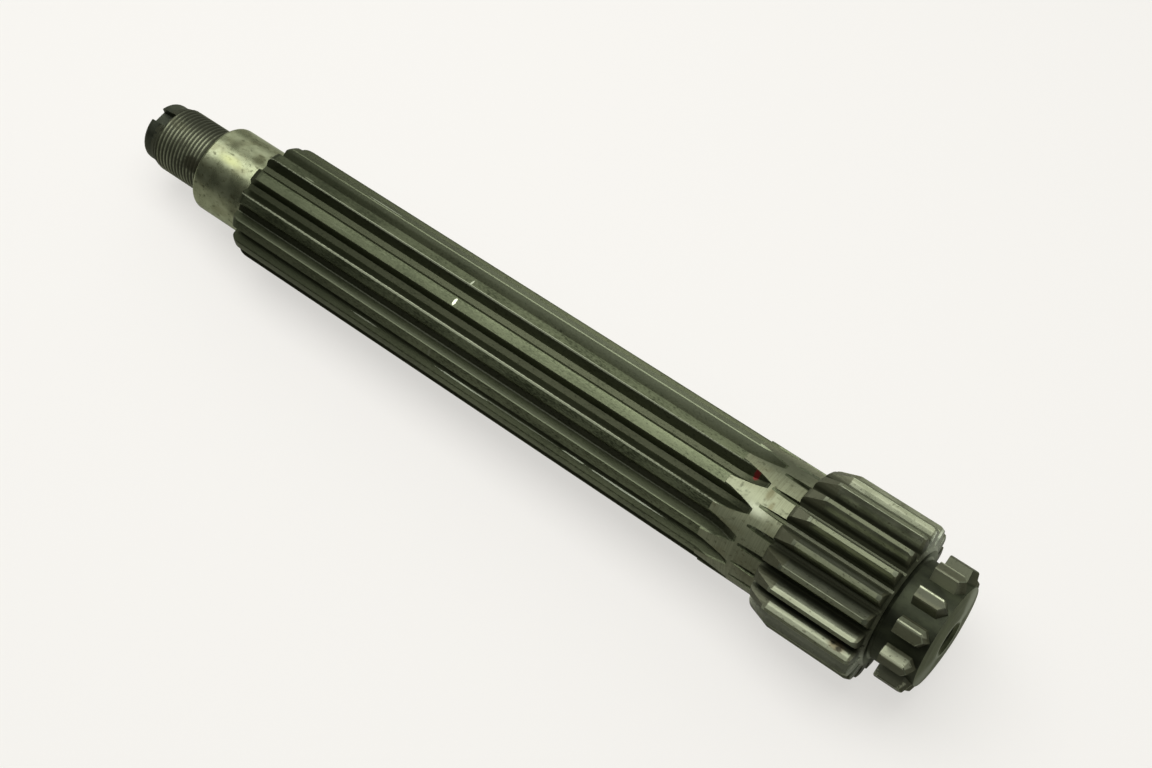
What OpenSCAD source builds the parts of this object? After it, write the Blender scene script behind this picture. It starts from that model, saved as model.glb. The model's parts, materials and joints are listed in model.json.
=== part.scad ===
// Countershaft of a vehicle gearbox: one forging, turned, hobbed and ground.
// The shaft axis is X, the dog coupling end is +X and the threaded nose is -X.
// The origin is on the axis, at the middle of the ground bearing journal.
// A tooth gap of the pinion and a groove of the splines stand straight up (+Z).

/* [Nose] */
// Diameter of the plain nose ahead of the thread
nose_d = 27; // [25.5:0.1:27.2]
// Length of the plain nose
nose_len = 5.5; // [3:0.5:8]
// Radius of the rounded nose edge
nose_round = 2.5; // [1:0.1:3]
// Width of the slot that takes the staked collar of the nut
slot_w = 7; // [4:0.25:8.5]
// Depth of that slot below the nose surface
slot_depth = 4.6; // [2:0.1:5.5]
// Length of that slot from the end of the nose
slot_len = 9.2; // [5:0.2:12]
// Angle of that slot from straight up, towards -Y
slot_angle = 4.5; // [0:0.5:360]
// Mouth diameter of the 60 degree turning centre in the nose
centre_d = 8; // [5:0.25:9]
// Diameter of the drilled pilot behind the turning centre
centre_pilot_d = 3.6; // [2:0.1:4.4]

/* [Thread] */
// Outside diameter of the nut thread
thread_d = 30; // [28:0.5:34]
// Length from the nose to the journal, with the relief
thread_len = 32; // [26:0.5:40]
// Half angle of the lead-in cone of the thread
thread_lead = 17; // [15:1:45]
// Width of the relief groove at the journal
relief_len = 2.4; // [1.5:0.1:4]
// Diameter in the relief groove
relief_d = 27; // [25:0.1:27.6]

/* [Journal] */
// Diameter of the ground bearing journal
journal_d = 40; // [36:0.25:42]
// Length of the bearing journal
journal_len = 30; // [22:0.5:36]
// Radius of the journal edge next to the thread
journal_round = 1.4; // [0.4:0.1:1.8]

/* [Splines] */
// Number of splines
spline_count = 14; // [10:1:15]
// Diameter over the spline lands
spline_d = 53.5; // [52:0.25:55]
// Depth of the spline grooves
spline_depth = 4.05; // [3:0.05:4.5]
// Length of the splines, from the journal to the band
spline_len = 246.5; // [200:0.5:270]
// Width of the groove floor
groove_floor = 2.5; // [1.6:0.1:3]
// Slope of a groove flank from the middle plane of the groove
groove_flank = 33.5; // [25:0.5:35]
// Height of the broken edge along each land
land_break = 0.28; // [0.1:0.02:0.5]
// Height of the rounded lead-in at the journal end of the lands
lead_h = 2.1; // [1.2:0.1:3.8]
// Length of that lead-in
lead_len = 4.4; // [3:0.2:8]
// Radius of the hob that left the groove run-outs
spline_hob_r = 28; // [24:0.5:36]

/* [Band] */
// Height of the ground band above the lands
band_step = 0.45; // [0.2:0.05:0.8]
// Length of the ground band
band_len = 27.6; // [26:0.1:36]

/* [Pinion] */
// Number of pinion teeth
pinion_teeth = 20; // [19:1:22]
// Module of the pinion
pinion_module = 3; // [2.9:0.05:3.2]
// Profile shift of the pinion, in modules
pinion_shift = 0.25; // [0.1:0.05:0.4]
// Depth of the tooth root below the pitch circle, in modules, before the shift
pinion_dedendum = 1.62; // [1.3:0.02:1.7]
// Length of the pinion
pinion_len = 48; // [40:0.5:60]
// Height of the square shoulder at the band end
shoulder_h = 1.5; // [0.8:0.1:2]
// Length of the tapered tooth starts at the band end
taper_len = 9.4; // [6:0.2:12]
// Slope of the tapered tooth starts
taper_angle = 15; // [10:0.5:16]
// Length of the bevelled and rounded tooth ends at the neck
tooth_end_len = 3.6; // [2:0.2:6]
// Height of those tooth ends
tooth_end_h = 7.2; // [3:0.2:7.6]
// Height of the bevel ahead of their rounding
tooth_end_bevel = 0.7; // [0.3:0.1:1.2]
// Height of the broken edge along each tooth tip
tooth_break = 0.22; // [0.1:0.02:0.3]
// Radius of the hob that left the slots in the band
pinion_hob_r = 58; // [50:1:70]

/* [Dog coupling] */
// Diameter of the neck and of the coupling hub
neck_d = 43.4; // [41:0.2:46]
// Length of the neck between pinion and dog teeth
neck_len = 5.8; // [4:0.2:8]
// Number of dog teeth
dog_count = 11; // [9:1:13]
// Diameter over the dog teeth
dog_d = 53.4; // [52:0.1:56]
// Length of a dog tooth to its point
dog_len = 12; // [9:0.25:14]
// Width of a dog tooth at its crest
dog_w = 5.3; // [4.5:0.1:7]
// Slope of a dog tooth flank
dog_flank = 12.5; // [5:0.5:16]
// Setback of the pointed dog tooth end at the crest edges
dog_point = 2.2; // [0.8:0.1:2.8]
// Forward lean of the pointed dog tooth end
dog_lean = 17; // [8:1:22]
// Height of the broken edges of a dog tooth crest
dog_break = 0.4; // [0.2:0.05:0.6]
// Angle of the first dog tooth from straight up, towards -Y
dog_angle = 6.2; // [0:0.1:32]
// Length of the hub beyond the dog tooth points
hub_len = 3.2; // [2.8:0.1:5]
// Length of the hub end bevel
hub_bevel_len = 0.7; // [0.4:0.1:1.6]
// Height of the hub end bevel
hub_bevel_h = 4.7; // [2:0.1:6]
// Diameter of the flat ring around the centre bore
face_d = 23; // [20:0.5:26]
// Height of the flat ring above the rim of the hub end
face_h = 0.5; // [0.1:0.1:1]
// Diameter of the centre bore in the hub
bore_d = 12.4; // [8:0.2:16]
// Depth of the centre bore
bore_len = 24; // [12:1:40]
// Height of the bore mouth chamfer
bore_chamfer = 1.3; // [0.5:0.1:2]

/* [Hidden] */
$fn = 72;
steel = [0.36, 0.37, 0.34];
over = 1;

x_j0 = -journal_len / 2;
x_j1 = journal_len / 2;
x_t0 = x_j0 - thread_len;
x_n0 = x_t0 - nose_len;
x_b0 = x_j1 + spline_len;
x_p0 = x_b0 + band_len;
x_p1 = x_p0 + pinion_len;
x_d0 = x_p1 + neck_len;
x_d1 = x_d0 + dog_len;
x_end = x_d1 + hub_len;
x_rim = x_end - face_h;

nose_r = nose_d / 2;
thread_r = thread_d / 2;
relief_r = relief_d / 2;
journal_r = journal_d / 2;
land_r = spline_d / 2;
groove_r = land_r - spline_depth;
band_r = land_r + band_step;
neck_r = neck_d / 2;
dog_r = dog_d / 2;
thread_lead_len = (thread_r - nose_r) / tan(thread_lead);
relief_slope = thread_r - relief_r;

pitch_r = pinion_module * pinion_teeth / 2;
base_r = pitch_r * cos(20);
tip_r = pitch_r + pinion_module * (1 + pinion_shift);
root_r = pitch_r + pinion_module * (pinion_shift - pinion_dedendum);
taper_r = tip_r - taper_len * tan(taper_angle);
shoulder_r = min(band_r + shoulder_h, taper_r - 0.6);
corner_len = 0.75 * (taper_r - shoulder_r);
end_r = tip_r - tooth_end_h;

// Turned outline, as [distance along the axis, radius]
function quarter(x, r, len, h, n) =
    [for (i = [0 : n]) [x + len * (1 - cos(90 * i / n)), r + h * sin(90 * i / n)]];
function quarter_back(x, r, len, h, n) =
    [for (i = [0 : n]) [x - len * (1 - cos(90 - 90 * i / n)), r + h * sin(90 - 90 * i / n)]];
function corner(x, r, len, h) =
    [[x, r], [x + 0.12 * len, r + 0.42 * h], [x + 0.45 * len, r + 0.78 * h], [x + len, r + h]];

outline = concat(
    [[x_n0, 0]],
    quarter(x_n0, nose_r - nose_round, nose_round, nose_round, 5),
    [[x_t0, nose_r], [x_t0 + thread_lead_len, thread_r]],
    [[x_j0 - relief_len - relief_slope, thread_r], [x_j0 - relief_len, relief_r], [x_j0, relief_r]],
    quarter(x_j0, journal_r - journal_round, journal_round, journal_round, 4),
    [[x_j1, journal_r]],
    quarter(x_j1, land_r - lead_h, lead_len, lead_h, 5),
    [[x_b0, land_r], [x_b0, band_r - 0.12], [x_b0 + 0.12, band_r]],
    [[x_p0, band_r]],
    corner(x_p0, shoulder_r, corner_len, taper_r - shoulder_r),
    [[x_p0 + corner_len + (taper_len - corner_len) * 0.98, tip_r - 0.04]],
    [[x_p0 + taper_len + 0.4, tip_r]],
    [[x_p1 - tooth_end_len, tip_r]],
    quarter_back(x_p1 - 0.3 * tooth_end_len, end_r, 0.2 * tooth_end_len, tooth_end_h - tooth_end_bevel, 5),
    [[x_p1, min(neck_r + 3.4, end_r - 0.3)], [x_p1, neck_r + 0.8], [x_p1 + 0.8, neck_r]],
    [[x_rim - hub_bevel_len, neck_r], [x_rim, neck_r - hub_bevel_h], [x_end, face_d / 2], [x_end, 0]]
);

// Half angle of a pinion tooth gap at a radius on the involute
function inv(a) = tan(a) * 180 / PI - a;
function half_tooth(r) =
    (90 + 2 * pinion_shift * tan(20) * 180 / PI) / pinion_teeth + inv(20) - inv(acos(base_r / r));
function half_gap(r) = 180 / pinion_teeth - half_tooth(r);

flank_r = [for (i = [0 : 4]) base_r + 0.02 + (tip_r - tooth_break - base_r) * i / 4];
flank = [for (r = flank_r) [r * sin(half_gap(r)), r * cos(half_gap(r))]];
gap_root = 0.38 * flank[0][0];
gap_side = concat([[gap_root, root_r]], flank, [flank[4] + [1.4 * tan(50), 1.4]]);
gap_shape = concat(gap_side, [for (i = [len(gap_side) - 1 : -1 : 0]) [-gap_side[i][0], gap_side[i][1]]]);

edge_z = sqrt(land_r * land_r - pow(groove_floor / 2 + spline_depth * tan(groove_flank), 2)) - land_break;
edge_y = groove_floor / 2 + (edge_z - groove_r) * tan(groove_flank);
groove_side = [
    [groove_floor / 2, groove_r],
    [edge_y, edge_z],
    [edge_y + 2.4 * tan(52), edge_z + 2.4]
];
groove_shape = concat(groove_side, [for (i = [2 : -1 : 0]) [-groove_side[i][0], groove_side[i][1]]]);

// Straight cut along the shaft, from a shape in the YZ plane
module along(x0, x1, shape) {
    translate([x0, 0, 0])
        rotate([90, 0, 90])
            linear_extrude(height = x1 - x0)
                polygon(shape);
}

// Run-out left by a round cutter that stops at x and lifts away along +X
module run_out(shape, floor_r, cutter_r, sweep) {
    translate([0, 0, floor_r + cutter_r])
        rotate([90, 90, 0])
            rotate_extrude(angle = sweep, $fn = 180)
                polygon([for (p = shape) [cutter_r - (p[1] - floor_r), p[0]]]);
}

module spline_groove() {
    along(x_j1 - over, x_b0 - 0.5, groove_shape);
    translate([x_b0 - 0.5, 0, 0])
        run_out(groove_shape, groove_r, spline_hob_r, 42);
}

module pinion_gap() {
    along(x_p0 + 0.7, x_p1 + 1.6, gap_shape);
    translate([x_p0 + 0.7, 0, 0])
        rotate([0, 0, 180])
            run_out(gap_shape, root_r, pinion_hob_r, 20);
}

// All that lies behind a pointed end with its point at x on the crest, leaning forward
module behind_point(x, lean) {
    far = 3 * dog_w;
    back = far * cos(lean) * dog_point / (dog_w / 2);
    translate([x, 0, dog_r])
        rotate([0, -lean, 0])
            translate([0, 0, -40])
                linear_extrude(height = 80)
                    polygon([[0, 0], [-back, far], [-60, far], [-60, -far], [-back, -far]]);
}

// One dog tooth standing up (+Z): straight flanks, leaning pointed end, broken crest edges
module dog_tooth() {
    low = neck_r - 2;
    half_w = dog_w / 2;
    crest_z = sqrt(dog_r * dog_r - half_w * half_w) - dog_break;
    top_z = dog_r + 0.2;
    root_w = half_w + (crest_z - low) * tan(dog_flank);
    top_w = half_w - (top_z - crest_z);
    intersection() {
        rotate([0, 90, 0])
            translate([0, 0, x_d0])
                cylinder(r = dog_r, h = dog_len + hub_len);
        along(x_d0, x_end, [
            [-root_w, low],
            [root_w, low],
            [half_w, crest_z],
            [top_w, top_z],
            [-top_w, top_z],
            [-half_w, crest_z]
        ]);
        behind_point(x_d1, dog_lean);
        behind_point(x_d1 - dog_break, dog_lean + 38);
    }
}

module nose_slot() {
    along(x_n0 - over, x_n0 + slot_len, [
        [-slot_w / 2, nose_r - slot_depth],
        [slot_w / 2, nose_r - slot_depth],
        [slot_w / 2, thread_r + over],
        [-slot_w / 2, thread_r + over]
    ]);
}

module turning_centre() {
    cone_len = (centre_d - centre_pilot_d) / 2 / tan(30);
    rotate([0, 90, 0])
        translate([0, 0, x_n0])
            rotate_extrude()
                polygon([
                    [0, -over],
                    [centre_d / 2 + over * tan(30), -over],
                    [centre_pilot_d / 2, cone_len],
                    [centre_pilot_d / 2, cone_len + 5],
                    [0, cone_len + 6]
                ]);
}

module hub_bore() {
    bore_r = bore_d / 2;
    rotate([0, 90, 0])
        translate([0, 0, x_end])
            rotate_extrude()
                polygon([
                    [0, over],
                    [bore_r + bore_chamfer + over, over],
                    [bore_r, -bore_chamfer],
                    [bore_r, -bore_len],
                    [0, -bore_len - bore_r * tan(31)]
                ]);
}

module countershaft() {
    color(steel)
        difference() {
            union() {
                rotate([0, 90, 0])
                    rotate_extrude()
                        polygon([for (p = outline) [p[1], p[0]]]);
                for (i = [0 : dog_count - 1])
                    rotate([dog_angle + i * 360 / dog_count, 0, 0])
                        dog_tooth();
            }
            for (i = [0 : spline_count - 1])
                rotate([i * 360 / spline_count, 0, 0])
                    spline_groove();
            for (i = [0 : pinion_teeth - 1])
                rotate([i * 360 / pinion_teeth, 0, 0])
                    pinion_gap();
            rotate([slot_angle, 0, 0])
                nose_slot();
            turning_centre();
            hub_bore();
        }
}

countershaft();
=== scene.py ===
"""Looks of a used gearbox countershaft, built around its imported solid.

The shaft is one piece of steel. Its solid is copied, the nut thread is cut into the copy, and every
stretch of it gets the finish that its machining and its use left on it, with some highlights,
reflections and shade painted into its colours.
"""

import json
import logging
import math
from collections.abc import Sequence
from dataclasses import dataclass, field
from enum import Enum
from typing import Any, ClassVar

import bmesh
import bpy
from mathutils import Matrix, Vector


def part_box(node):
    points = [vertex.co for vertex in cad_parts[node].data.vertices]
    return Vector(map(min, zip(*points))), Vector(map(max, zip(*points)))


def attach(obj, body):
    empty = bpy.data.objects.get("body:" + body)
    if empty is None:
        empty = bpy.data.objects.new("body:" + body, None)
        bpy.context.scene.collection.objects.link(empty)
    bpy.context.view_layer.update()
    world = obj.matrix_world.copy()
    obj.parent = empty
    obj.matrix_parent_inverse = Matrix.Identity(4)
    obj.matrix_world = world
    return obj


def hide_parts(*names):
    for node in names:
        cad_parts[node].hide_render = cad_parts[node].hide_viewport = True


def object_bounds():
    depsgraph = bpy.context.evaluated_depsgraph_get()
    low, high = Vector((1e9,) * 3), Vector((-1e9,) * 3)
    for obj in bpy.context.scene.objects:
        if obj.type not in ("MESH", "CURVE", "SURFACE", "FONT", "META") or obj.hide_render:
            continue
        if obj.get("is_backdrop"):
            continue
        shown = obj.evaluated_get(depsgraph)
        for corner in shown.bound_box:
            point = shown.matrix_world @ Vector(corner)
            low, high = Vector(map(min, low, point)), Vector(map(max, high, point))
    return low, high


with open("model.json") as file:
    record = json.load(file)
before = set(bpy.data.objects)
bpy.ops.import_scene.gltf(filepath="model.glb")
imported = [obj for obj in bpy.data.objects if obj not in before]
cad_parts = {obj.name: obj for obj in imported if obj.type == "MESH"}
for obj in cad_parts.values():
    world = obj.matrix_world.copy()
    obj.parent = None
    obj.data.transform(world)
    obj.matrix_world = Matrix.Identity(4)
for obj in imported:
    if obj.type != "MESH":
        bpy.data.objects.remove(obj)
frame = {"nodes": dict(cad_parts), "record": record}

LOG = logging.getLogger("countershaft")
NODE = "countershaft"
MM = 0.001

# Noise runs from 0 to 1 around this value.
MIDDLE = 0.5

Colour = tuple[float, float, float]
Point = tuple[float, float, float]
Size = tuple[float, float]
Ends = tuple[float, float]


class Finish(Enum):
    """The finishes of the shaft, in the order of its material slots."""

    NOSE = "plain_nose"
    THREAD = "cut_thread"
    SEAT = "ground_seat"
    SPLINE = "oiled_spline"
    TOOTH = "worn_tooth"
    DARK = "dark_steel"
    HUB = "faced_hub"
    EDGE = "rubbed_edge"

    @property
    def index(self) -> int:
        """The place of this finish in the material slots."""
        return list(Finish).index(self)


@dataclass(frozen=True)
class Stretch:
    """A stretch of the shaft along its axis, in metres."""

    start: float
    end: float
    radius: float

    @classmethod
    def of_mount(cls, record: dict[str, Any], name: str) -> "Stretch":
        """Reads a stretch from a mount of the record.

        Args:
            record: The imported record.
            name: The mount's name.

        Returns:
            The stretch that the mount's place, length and radius give.
        """
        mount = next(m for m in record["mounts"] if m["name"] == name)
        half = mount["dims"]["length_mm"] * MM / 2
        middle = mount["pos_m"][0]
        return cls(middle - half, middle + half, mount["dims"]["r_mm"] * MM)

    def holds(self, x: float) -> bool:
        """Says whether a place along the axis lies in the stretch."""
        return self.start <= x <= self.end


@dataclass(frozen=True)
class ShaftPlan:
    """The stretches of the shaft, from the thread to the dog teeth, and sizes that no mount gives."""

    BAND_STEP: ClassVar[float] = 0.45 * MM

    thread: Stretch
    journal: Stretch
    splines: Stretch
    band: Stretch
    pinion: Stretch
    dogs: Stretch
    neck_radius: float = 21.7 * MM
    groove_radius: float = 22.7 * MM

    @classmethod
    def of_frame(cls, record: dict[str, Any]) -> "ShaftPlan":
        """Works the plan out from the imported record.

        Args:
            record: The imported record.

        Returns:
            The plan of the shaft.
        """
        splines = Stretch.of_mount(record, "splines")
        pinion = Stretch.of_mount(record, "pinion")
        journal = Stretch(-splines.start, splines.start, Stretch.of_mount(record, "journal").radius)
        return cls(
            thread=Stretch.of_mount(record, "nut_thread"),
            journal=journal,
            splines=splines,
            band=Stretch(splines.end, pinion.start, splines.radius + cls.BAND_STEP),
            pinion=pinion,
            dogs=Stretch.of_mount(record, "dog_coupling"),
        )


class Value:
    """A number that varies over a surface: a shader socket with maths written as operators."""

    def __init__(self, graph: "Graph", socket: bpy.types.NodeSocket) -> None:
        """Keeps the socket and the graph that it belongs to."""
        self.graph = graph
        self.socket = socket

    def _math(self, operation: str, *terms: "Term") -> "Value":
        """Adds one Math node."""
        node = self.graph.node("ShaderNodeMath", {"operation": operation}, dict(enumerate(terms)))
        return Value(self.graph, node.outputs[0])

    def __add__(self, other: "Term") -> "Value":
        """Sum of two values."""
        return self._math("ADD", self, other)

    def __radd__(self, other: "Term") -> "Value":
        """Sum, with a plain number first."""
        return self._math("ADD", other, self)

    def __sub__(self, other: "Term") -> "Value":
        """Difference of two values."""
        return self._math("SUBTRACT", self, other)

    def __rsub__(self, other: "Term") -> "Value":
        """Difference, with a plain number first."""
        return self._math("SUBTRACT", other, self)

    def __mul__(self, other: "Term") -> "Value":
        """Product of two values."""
        return self._math("MULTIPLY", self, other)

    def __rmul__(self, other: "Term") -> "Value":
        """Product, with a plain number first."""
        return self._math("MULTIPLY", other, self)

    def __truediv__(self, other: "Term") -> "Value":
        """Quotient of two values."""
        return self._math("DIVIDE", self, other)

    def __abs__(self) -> "Value":
        """Size without sign."""
        return self._math("ABSOLUTE", self)

    def root(self) -> "Value":
        """Square root."""
        return self._math("SQRT", self)

    def beyond_whole(self) -> "Value":
        """The part beyond the whole number below it."""
        return self._math("FRACT", self)

    def turn_from(self, other: "Term") -> "Value":
        """Angle whose tangent is this value over the other."""
        return self._math("ARCTAN2", self, other)

    def larger(self, other: "Term") -> "Value":
        """The larger of two values."""
        return self._math("MAXIMUM", self, other)

    def step(self, low: float, high: float) -> "Value":
        """Goes smoothly from 0 at low to 1 at high; low may be the larger one.

        Args:
            low: The value at which the result is 0.
            high: The value at which the result is 1.

        Returns:
            A mask from 0 to 1.
        """
        settings = {"interpolation_type": "SMOOTHSTEP"}
        ends = (0.0, 1.0)
        if low > high:
            low, high, ends = high, low, (1.0, 0.0)
        sockets = {"Value": self, "From Min": low, "From Max": high, "To Min": ends[0], "To Max": ends[1]}
        node = self.graph.node("ShaderNodeMapRange", settings, sockets)
        return Value(self.graph, node.outputs["Result"])

    def step_from(self, place: float, ends: Ends) -> "Value":
        """A step whose low and high are distances from a place."""
        return self.step(place + ends[0], place + ends[1])


Term = Value | float


class Graph:
    """A material's or the world's node tree, with one way to add a node."""

    # The colour sockets of a Mix node go by place, because their names occur more than once.
    MIX_FIRST: ClassVar[int] = 6
    MIX_SECOND: ClassVar[int] = 7
    MIX_RESULT: ClassVar[int] = 2

    def __init__(self, tree: bpy.types.NodeTree) -> None:
        """Empties the tree."""
        self.tree = tree
        tree.nodes.clear()

    def node(
        self,
        kind: str,
        settings: dict[str, Any] | None = None,
        sockets: dict[str | int, Any] | None = None,
    ) -> bpy.types.Node:
        """Adds one node.

        Args:
            kind: The node's type.
            settings: Properties of the node, which are set first.
            sockets: Values or links of its inputs, by name or by place.

        Returns:
            The new node.
        """
        made = self.tree.nodes.new(kind)
        for name, value in (settings or {}).items():
            setattr(made, name, value)
        for name, value in (sockets or {}).items():
            self.feed(made.inputs[name], value)
        return made

    def feed(self, socket: bpy.types.NodeSocket, value: Any) -> None:
        """Links a value or a socket to an input, or sets a plain number, colour or vector on it.

        Args:
            socket: The input.
            value: What it gets.
        """
        if isinstance(value, Value):
            value = value.socket
        if isinstance(value, bpy.types.NodeSocket):
            self.tree.links.new(value, socket)
        elif socket.type == "RGBA" and len(value) == 3:
            socket.default_value = (*value, 1.0)
        else:
            socket.default_value = value

    def vector(self, operation: str, first: Any, second: Any) -> bpy.types.NodeSocket:
        """Adds one Vector Math node and gives its vector."""
        node = self.node("ShaderNodeVectorMath", {"operation": operation}, {0: first, 1: second})
        return node.outputs["Vector"]

    def mix(self, share: Term, first: Any, second: Any) -> bpy.types.NodeSocket:
        """Mixes two colours.

        Args:
            share: The share of the second colour, from 0 to 1.
            first: A colour or a colour socket.
            second: A colour or a colour socket.

        Returns:
            The socket of the mixed colour.
        """
        sockets = {"Factor": share, self.MIX_FIRST: first, self.MIX_SECOND: second}
        node = self.node("ShaderNodeMix", {"data_type": "RGBA", "clamp_factor": True}, sockets)
        return node.outputs[self.MIX_RESULT]

    def noise(self, place: bpy.types.NodeSocket, grain: Point, detail: float = 2.0) -> Value:
        """Noise with its own grain along each axis.

        Args:
            place: The socket of the place on the surface, in millimetres.
            grain: The size of the grain along X, Y and Z, in millimetres.
            detail: The number of finer layers.

        Returns:
            The noise, from 0 to 1 around 0.5.
        """
        stretched = self.vector("DIVIDE", place, grain)
        node = self.node("ShaderNodeTexNoise", {}, {"Vector": stretched, "Scale": 1.0, "Detail": detail})
        return Value(self, node.outputs[0])


class Surface:
    """A material with the places on the shaft as values, in millimetres and radians."""

    SHEEN: ClassVar[Colour] = (0.93, 0.98, 0.80)
    MARK_DETAIL: ClassVar[float] = 3.0
    ROUND_STRETCH: ClassVar[float] = 40.0
    LONG_STRETCH: ClassVar[float] = 60.0
    RAGGED_GRAIN: ClassVar[Point] = (0.7, 0.7, 0.7)
    RAGGED_REACH: ClassVar[float] = 1.1

    def __init__(self, name: str) -> None:
        """Makes the material and the values of place.

        Args:
            name: The material's name.
        """
        self.material = bpy.data.materials.new(name)
        self.material.use_nodes = True
        self.graph = Graph(self.material.node_tree)
        metres = self.graph.node("ShaderNodeTexCoord").outputs["Object"]
        self.place = self.graph.vector("DIVIDE", metres, (MM, MM, MM))
        split = self.graph.node("ShaderNodeSeparateXYZ", {}, {0: self.place})
        self.x, y, z = (Value(self.graph, s) for s in split.outputs)
        self.radius = (y * y + z * z).root()
        self.turn = (y * -1.0).turn_from(z)

    def noise(self, grain: Point, detail: float = 2.0) -> Value:
        """Noise over the surface; see Graph.noise."""
        return self.graph.noise(self.place, grain, detail)

    def round_marks(self, pitch: float) -> Value:
        """Fine marks that run round the axis, as turning and grinding leave them."""
        length = self.ROUND_STRETCH * pitch
        return self.noise((pitch, length, length), self.MARK_DETAIL)

    def long_marks(self, pitch: float) -> Value:
        """Fine marks that run along the axis, as sliding parts leave them."""
        return self.noise((self.LONG_STRETCH * pitch, pitch, pitch), self.MARK_DETAIL)

    def face_marks(self, pitch: float) -> Value:
        """Fine rings on a face across the axis, as facing leaves them."""
        rings = self.graph.node("ShaderNodeCombineXYZ", {}, {0: self.radius}).outputs[0]
        return self.graph.noise(rings, (pitch, pitch, pitch), self.MARK_DETAIL)

    def within_pitch(self, count: int, first_deg: float) -> Value:
        """The place round the axis between equal teeth or grooves.

        Args:
            count: The number of teeth or grooves.
            first_deg: The place of one of them, from +Z towards -Y, in degrees.

        Returns:
            The distance from the nearest middle, in pitches from -0.5 to 0.5.
        """
        share = (self.turn - math.radians(first_deg)) * (count / (2 * math.pi))
        return (share + 0.5).beyond_whole() - 0.5

    def spot(self, x: float, turn_deg: float, half: Size, radius: float, soft: float) -> Value:
        """A soft-edged oval at a place on the shaft.

        Args:
            x: Its place along the axis, in millimetres.
            turn_deg: Its place round the axis, from +Z towards -Y, in degrees.
            half: Its half size along and round the axis, in millimetres.
            radius: The radius at which it lies, in millimetres.
            soft: The share of its half size over which it fades, inwards and outwards.

        Returns:
            A mask that is 1 inside the oval.
        """
        along = (self.x - x) / half[0]
        across = (self.turn - math.radians(turn_deg)) * (radius / half[1])
        ragged = (self.noise(self.RAGGED_GRAIN) - MIDDLE) * (self.RAGGED_REACH - soft)
        return ((along * along + across * across).root() + ragged).step(1.0 + soft, 1.0 - soft)

    def finish(
        self,
        colour: bpy.types.NodeSocket,
        roughness: Term,
        metal: Term,
        bump: Value,
        depth: float,
    ) -> bpy.types.Material:
        """Ends the material with a metal shader.

        Args:
            colour: The socket of the colour.
            roughness: The roughness as a number or a value.
            metal: The share of bare metal as a number or a value; the rest is dull film.
            bump: The height of the fine relief, from 0 to 1.
            depth: The depth of that relief, in millimetres.

        Returns:
            The finished material.
        """
        relief = self.graph.node("ShaderNodeBump", {}, {"Height": bump, "Distance": depth * MM})
        sockets = {"Base Color": colour, "Roughness": roughness, "Metallic": metal}
        sockets |= {"Normal": relief.outputs["Normal"], "Specular Tint": (*self.SHEEN, 1.0)}
        shader = self.graph.node("ShaderNodeBsdfPrincipled", {}, sockets)
        self.graph.node("ShaderNodeOutputMaterial", {}, {"Surface": shader.outputs[0]})
        return self.material


@dataclass(frozen=True)
class SteelTone:
    """The colours, clouds and gloss of one steel finish.

    Attributes:
        dark: The colour of its dark clouds.
        light: The colour of its light clouds.
        stain: The colour of its stains.
        roughness: The mean roughness.
        spread: How far the roughness swings with the clouds.
        metal: The share of bare metal; the rest is dull film.
        grain: The size of the clouds along X, Y and Z, in millimetres.
    """

    CLOUD_DETAIL: ClassVar[float] = 4.0
    CLOUD_ENDS: ClassVar[Ends] = (0.3, 0.7)

    dark: Colour
    light: Colour
    stain: Colour
    roughness: float
    spread: float = 0.16
    metal: float = 0.8
    grain: Point = (8.0, 4.0, 4.0)

    def clouds(self, s: Surface) -> Value:
        """The clouds of the finish, as noise."""
        return s.noise(self.grain, self.CLOUD_DETAIL)

    def clouded(self, s: Surface, cloud: Value) -> bpy.types.NodeSocket:
        """Goes from the dark to the light colour with a cloud."""
        return s.graph.mix(cloud.step(*self.CLOUD_ENDS), self.dark, self.light)

    def gloss(self, cloud: Value) -> Value:
        """The roughness, which varies with a cloud."""
        return self.roughness + (cloud - MIDDLE) * self.spread


@dataclass(frozen=True)
class Patches:
    """Patches scattered over a surface.

    Attributes:
        grain: Their size along X, Y and Z, in millimetres.
        detail: The number of finer layers in their outline.
        ends: The noise at which a patch starts and at which it is full.
        share: How much they hide of the colour below them, from 0 to 1.
    """

    grain: Point
    detail: float
    ends: Ends
    share: float

    def mask(self, s: Surface) -> Value:
        """The patches as a mask from 0 to 1."""
        return s.noise(self.grain, self.detail).step(*self.ends)


@dataclass(frozen=True)
class Mark:
    """A single mark on the shaft's colour: paint, a nick, a scuff, a stain, a speck of rust, or a painted
    highlight, reflection or shade.

    Attributes:
        what: What it is; its node carries this as a label.
        x: Its place along the axis, in millimetres.
        turn_deg: Its place round the axis, from +Z towards -Y, in degrees.
        half: Its half size along and round the axis, in millimetres.
        radius: The radius at which it lies, in millimetres.
        colour: Its colour.
        cover: How much it hides of the colour below it, from 0 to 1.
        soft: The share of its half size over which it fades.
    """

    what: str
    x: float
    turn_deg: float
    half: Size
    radius: float
    colour: Colour
    cover: float = 1.0
    soft: float = 0.2

    def paint(self, s: Surface, base: bpy.types.NodeSocket) -> bpy.types.NodeSocket:
        """Lays the mark over a colour.

        Args:
            s: The surface that carries it.
            base: The socket of the colour below it.

        Returns:
            The socket of the colour with the mark.
        """
        share = s.spot(self.x, self.turn_deg, self.half, self.radius, self.soft) * self.cover
        marked = s.graph.mix(share, base, self.colour)
        marked.node.label = self.what
        return marked


def paint_all(s: Surface, base: bpy.types.NodeSocket, marks: Sequence[Mark]) -> bpy.types.NodeSocket:
    """Lays marks over a colour, one after the other.

    Args:
        s: The surface that carries them.
        base: The socket of the colour below them.
        marks: The marks.

    Returns:
        The socket of the colour with all marks.
    """
    for mark in marks:
        base = mark.paint(s, base)
    return base


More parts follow.
